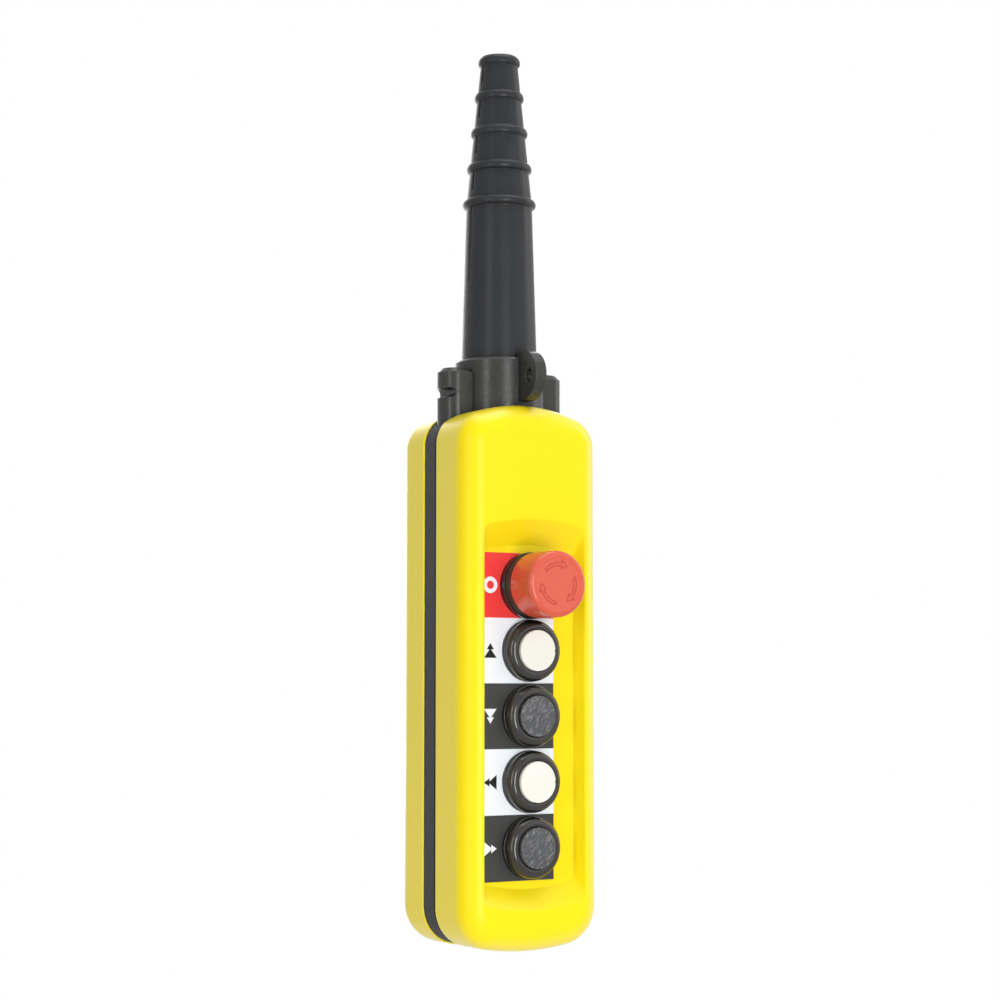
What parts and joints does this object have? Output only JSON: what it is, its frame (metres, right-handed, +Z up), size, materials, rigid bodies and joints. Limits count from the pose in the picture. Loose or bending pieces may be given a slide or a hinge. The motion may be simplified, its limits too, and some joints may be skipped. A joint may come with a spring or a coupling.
{
  "type": "pushbutton station",
  "caption": "Hanging pushbutton station for a hoist: split casing on a gasket, stepped cable boot, turn-to-release emergency stop head and a row of sprung pushbuttons.",
  "frame": {"origin": "centre of the mouth of the cable boot, where the cable leaves upwards and the station hangs", "axes": "+Z up along the cable, -Y towards the user (the side with the operators), +X to the user's right"},
  "size_m": [0.08, 0.0904, 0.458],
  "materials": {
    "casing_yellow": "satin",
    "gasket_rubber": "matte",
    "boot_rubber": "matte",
    "gaiter_rubber": "matte",
    "collar_black": "satin",
    "operator_black": "satin",
    "legend_red": "satin",
    "legend_white": "satin",
    "legend_black": "satin",
    "cap_white": "satin",
    "cap_black": "satin",
    "knob_red": "satin",
    "stem_nylon": "matte",
    "block_grey": "matte",
    "brass": "satin",
    "steel": "satin"
  },
  "bodies": {
    "housing": {"front_cover": "casing_yellow", "rear_cover": "casing_yellow", "housing_gasket": "gasket_rubber", "cover_screws": "steel", "screw_inserts": "brass", "entry_collar": "collar_black", "collar_wing_right": "collar_black", "collar_wing_left": "collar_black", "cable_boot": "boot_rubber", "cable_clamp": "steel", "clamp_screws": "steel", "contact_rail": "steel", "rail_screws": "steel", "stop_legend": "legend_red", "stop_nut": "operator_black", "stop_spring": "steel", "stop_contact_block": "block_grey", "stop_contact_terminals": "brass", "up_legend": "legend_white", "up_nut": "operator_black", "up_spring": "steel", "up_contact_block": "block_grey", "up_contact_terminals": "brass", "down_legend": "legend_black", "down_nut": "operator_black", "down_spring": "steel", "down_contact_block": "block_grey", "down_contact_terminals": "brass", "left_legend": "legend_white", "left_nut": "operator_black", "left_spring": "steel", "left_contact_block": "block_grey", "left_contact_terminals": "brass", "right_legend": "legend_black", "right_nut": "operator_black", "right_spring": "steel", "right_contact_block": "block_grey", "right_contact_terminals": "brass", "up_bezel": "operator_black", "down_bezel": "operator_black", "left_bezel": "operator_black", "right_bezel": "operator_black", "stop_base_ring": "operator_black", "stop_gaiter": "gaiter_rubber"},
    "up_button": {"up_cap": "cap_white", "up_stem": "stem_nylon", "up_contact_bridge": "stem_nylon"},
    "down_button": {"down_cap": "cap_black", "down_stem": "stem_nylon", "down_contact_bridge": "stem_nylon"},
    "left_button": {"left_cap": "cap_white", "left_stem": "stem_nylon", "left_contact_bridge": "stem_nylon"},
    "right_button": {"right_cap": "cap_black", "right_stem": "stem_nylon", "right_contact_bridge": "stem_nylon"},
    "stop_plunger": {"stop_stem": "stem_nylon", "stop_contact_bridge": "stem_nylon"},
    "stop_head": {"stop_knob": "knob_red"}
  },
  "joints": [
    {"name": "up_press", "type": "slide", "parent": "housing", "child": "up_button", "axis": [0, 1, 0], "range_m": [0, 0.0045], "stiffness_N_per_m": 1000, "springref_m": -0.006, "deforming": ["up_spring"]},
    {"name": "down_press", "type": "slide", "parent": "housing", "child": "down_button", "axis": [0, 1, 0], "range_m": [0, 0.0045], "stiffness_N_per_m": 1000, "springref_m": -0.006, "deforming": ["down_spring"]},
    {"name": "left_press", "type": "slide", "parent": "housing", "child": "left_button", "axis": [0, 1, 0], "range_m": [0, 0.0045], "stiffness_N_per_m": 1000, "springref_m": -0.006, "deforming": ["left_spring"]},
    {"name": "right_press", "type": "slide", "parent": "housing", "child": "right_button", "axis": [0, 1, 0], "range_m": [0, 0.0045], "stiffness_N_per_m": 1000, "springref_m": -0.006, "deforming": ["right_spring"]},
    {"name": "stop_press", "type": "slide", "parent": "housing", "child": "stop_plunger", "axis": [0, 1, 0], "range_m": [0, 0.0045], "deforming": ["stop_spring", "stop_gaiter"]},
    {"name": "stop_turn", "type": "hinge", "parent": "stop_plunger", "child": "stop_head", "pos_m": [0, -0.0554, -0.2768], "axis": [0, 1, 0], "range_deg": [0, 45], "stiffness_Nm_per_rad": 0.05, "springref_deg": -11.46}
  ]
}
